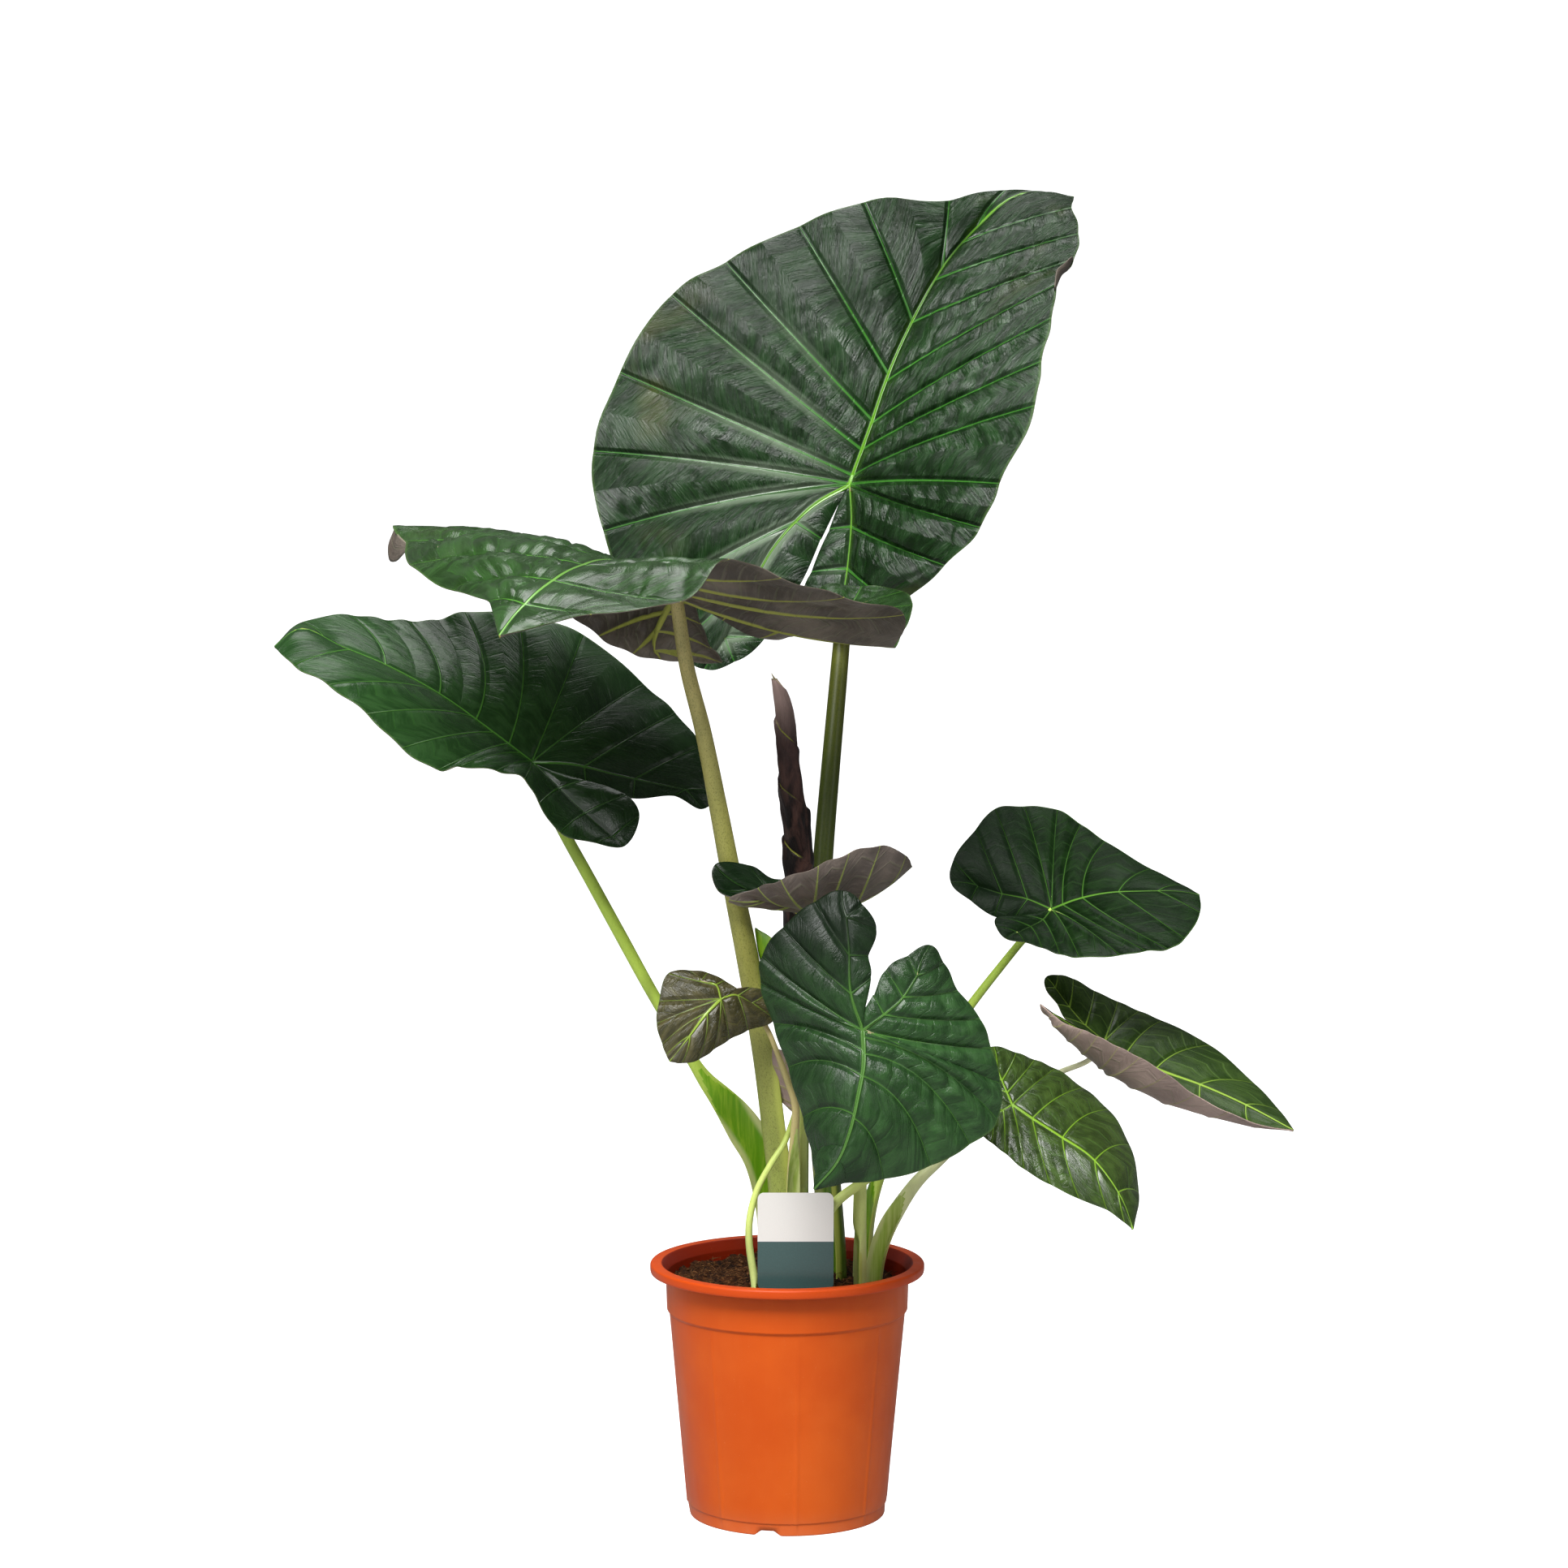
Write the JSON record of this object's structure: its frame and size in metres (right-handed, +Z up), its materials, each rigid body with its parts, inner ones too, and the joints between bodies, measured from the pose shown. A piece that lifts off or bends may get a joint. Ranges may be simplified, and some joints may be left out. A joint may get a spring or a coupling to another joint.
{
  "type": "potted regal shields alocasia",
  "caption": "Tall potted alocasia with great dark shield-shaped leaves on long upright stalks, small offsets round it, a plain plant label and a round plastic grow pot.",
  "frame": {"origin": "centre of the pot's underside, on the floor pad", "axes": "+Z up, -Z out of the pot's underside; +Y away from the viewer of the picture; +X to the viewer's right"},
  "size_m": [0.7731, 0.5522, 1.0245],
  "materials": {
    "pot_plastic": "satin terracotta-coloured plastic",
    "peat": "matt, crumbly peat",
    "label_card": "smooth off-white card with a dark teal lower half",
    "leaf_blade": "glossy dark green, pale veins",
    "bronze_blade": "glossy olive bronze, yellow-green veins",
    "young_leaf": "satin purple-brown",
    "leaf_stalk": "satin olive green, finely speckled"
  },
  "bodies": {
    "root": {"leaf_bronze": "bronze_blade", "leaf_crown": "leaf_blade", "leaf_cupped": "leaf_blade", "leaf_front": "leaf_blade", "leaf_left": "leaf_blade", "leaf_level": "leaf_blade", "leaf_right_high": "leaf_blade", "leaf_right_low": "leaf_blade", "leaf_right_outer": "leaf_blade", "leaf_small": "leaf_blade", "leaf_young": "young_leaf", "plant_label": "label_card", "pot": "pot_plastic", "soil": "peat", "stalk_bronze": "leaf_stalk", "stalk_crown": "leaf_stalk", "stalk_cupped": "leaf_stalk", "stalk_front": "leaf_stalk", "stalk_left": "leaf_stalk", "stalk_level": "leaf_stalk", "stalk_right_high": "leaf_stalk", "stalk_right_low": "leaf_stalk", "stalk_right_outer": "leaf_stalk", "stalk_small": "leaf_stalk"}
  },
  "joints": []
}
